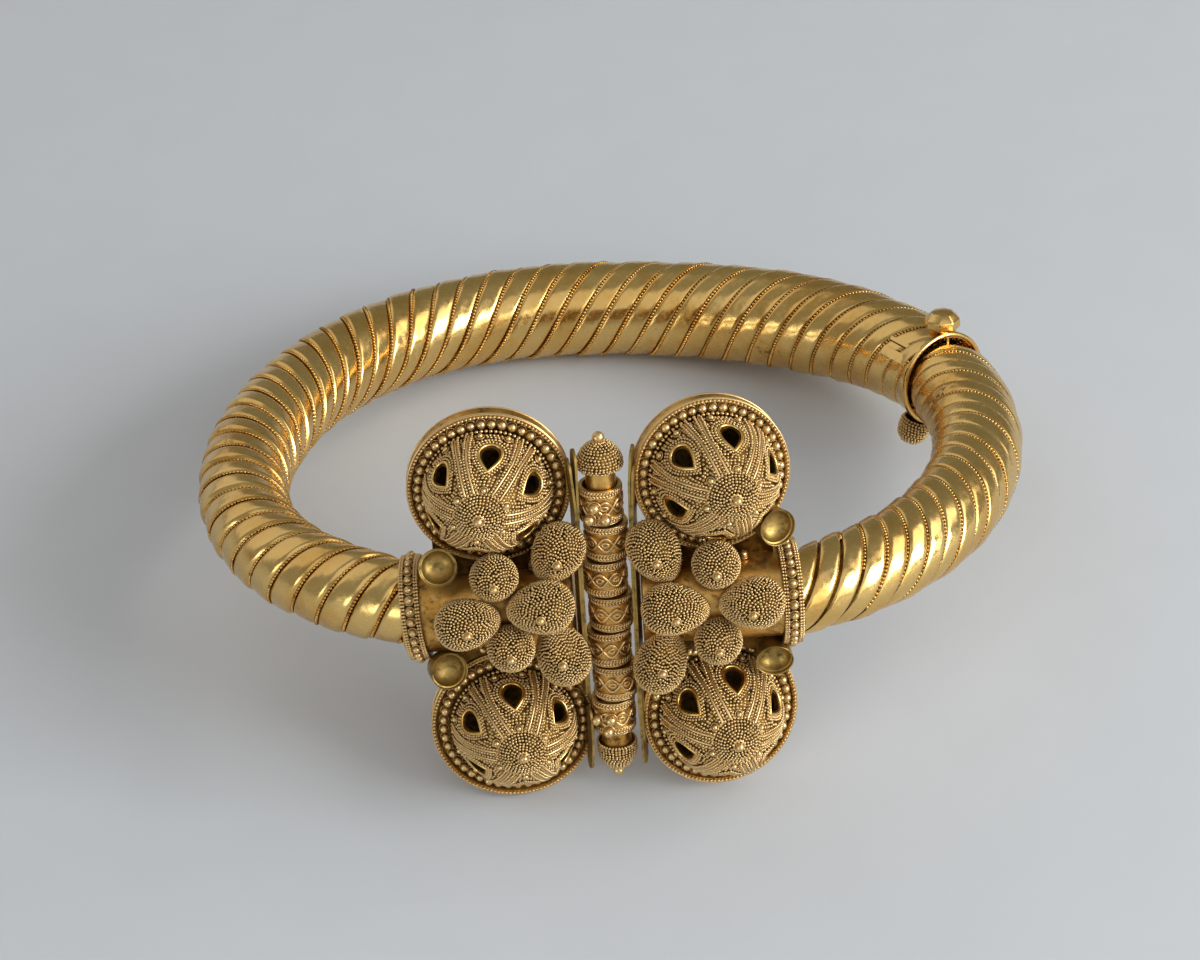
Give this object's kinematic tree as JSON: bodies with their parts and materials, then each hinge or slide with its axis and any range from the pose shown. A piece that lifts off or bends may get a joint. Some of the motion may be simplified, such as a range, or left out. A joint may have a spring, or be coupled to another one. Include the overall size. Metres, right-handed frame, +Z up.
{
  "type": "armlet",
  "caption": "Hinged oval armlet of twisted gold tube, closed by a removable pin through a tall clasp with openwork domes, granulated bosses and empty stone settings.",
  "frame": {"origin": "middle of the bounding box, on the floor that the armlet lies on", "axes": "+X to the wearer's left seen with the clasp in front, +Y from the clasp to the back of the shank, +Z up; the clasp stands at -Y and the hinge at +X +Y"},
  "size_m": [0.1056, 0.101, 0.0502],
  "materials": {
    "smooth_gold": "high-carat sheet gold, burnished, with dark soil in the grooves",
    "clasp_gold": "high-carat sheet gold, satin, with orange-brown patina",
    "granulated_gold": "gold covered with fine granules and beaded wire, dark soil between them"
  },
  "bodies": {
    "long_arm": {"long_shank": "smooth_gold", "hinge_pin": "smooth_gold", "left_collar": "granulated_gold", "left_clasp_tube": "clasp_gold", "left_side_plate": "clasp_gold", "roundel_upper_left": "granulated_gold", "roundel_lower_left": "granulated_gold", "roundel_tab_upper_left": "clasp_gold", "roundel_tab_lower_left": "clasp_gold", "boss_left_upper_pear": "granulated_gold", "boss_left_upper_ball": "granulated_gold", "boss_left_inner_egg": "granulated_gold", "boss_left_outer_egg": "granulated_gold", "boss_left_lower_ball": "granulated_gold", "boss_left_lower_pear": "granulated_gold", "collet_left_upper": "clasp_gold", "collet_left_lower": "clasp_gold", "knuckle_1": "granulated_gold", "knuckle_3": "granulated_gold", "knuckle_5": "granulated_gold", "knuckle_7": "granulated_gold", "clasp_pin_head": "granulated_gold", "clasp_pin_foot": "granulated_gold"},
    "short_arm": {"short_shank": "smooth_gold", "right_collar": "granulated_gold", "right_clasp_tube": "clasp_gold", "right_side_plate": "clasp_gold", "roundel_upper_right": "granulated_gold", "roundel_lower_right": "granulated_gold", "roundel_tab_upper_right": "clasp_gold", "roundel_tab_lower_right": "clasp_gold", "boss_right_upper_pear": "granulated_gold", "boss_right_upper_ball": "granulated_gold", "boss_right_inner_egg": "granulated_gold", "boss_right_outer_egg": "granulated_gold", "boss_right_lower_ball": "granulated_gold", "boss_right_lower_pear": "granulated_gold", "collet_right_upper": "clasp_gold", "collet_right_lower": "clasp_gold", "knuckle_2": "granulated_gold", "knuckle_4": "granulated_gold", "knuckle_6": "granulated_gold"}
  },
  "joints": [
    {"name": "armlet_hinge", "type": "hinge", "parent": "long_arm", "child": "short_arm", "pos_m": [0.04531, 0.01659, 0.01277], "axis": [0, 0.2187, 0.9758], "range_deg": [0, 24]}
  ]
}
